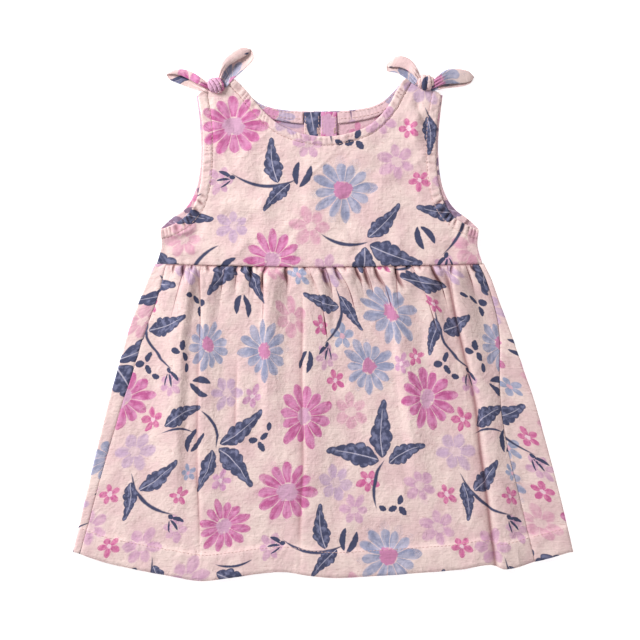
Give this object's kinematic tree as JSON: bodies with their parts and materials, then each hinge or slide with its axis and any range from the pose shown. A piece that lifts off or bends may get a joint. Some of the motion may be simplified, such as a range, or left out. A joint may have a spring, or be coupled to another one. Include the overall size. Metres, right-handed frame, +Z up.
{
  "type": "sleeveless baby dress",
  "caption": "Sleeveless baby dress with a plain bodice, a gathered skirt and knotted shoulder ties, laid flat with its front up.",
  "frame": {"origin": "middle of the outline's bounding box, on the surface that the dress lies on", "axes": "+X to the right of someone looking down at the front, +Y towards the shoulders, +Z up from the surface"},
  "size_m": [0.4, 0.4251, 0.0115],
  "materials": {
    "printed_cotton": "matt woven cotton with a printed pattern",
    "cotton_wrong_side": "matt woven cotton",
    "tie_cotton": "matt woven cotton with a printed pattern",
    "snap_cap": "matt"
  },
  "bodies": {
    "root": {"front_bodice": "printed_cotton", "back_bodice_left": "printed_cotton", "back_bodice_right": "printed_cotton", "back_placket_left": "cotton_wrong_side", "back_placket_right": "cotton_wrong_side", "back_snap_1": "snap_cap", "back_snap_2": "snap_cap", "back_snap_3": "snap_cap", "neck_facing_left": "cotton_wrong_side", "neck_facing_right": "cotton_wrong_side", "armhole_facing_left": "cotton_wrong_side", "armhole_facing_right": "cotton_wrong_side", "front_skirt": "printed_cotton", "back_skirt": "printed_cotton", "tie_knot_left": "tie_cotton", "tie_end_outer_left": "tie_cotton", "tie_end_inner_left": "tie_cotton", "tie_knot_right": "tie_cotton", "tie_end_inner_right": "tie_cotton", "tie_end_outer_right": "tie_cotton"}
  },
  "joints": []
}
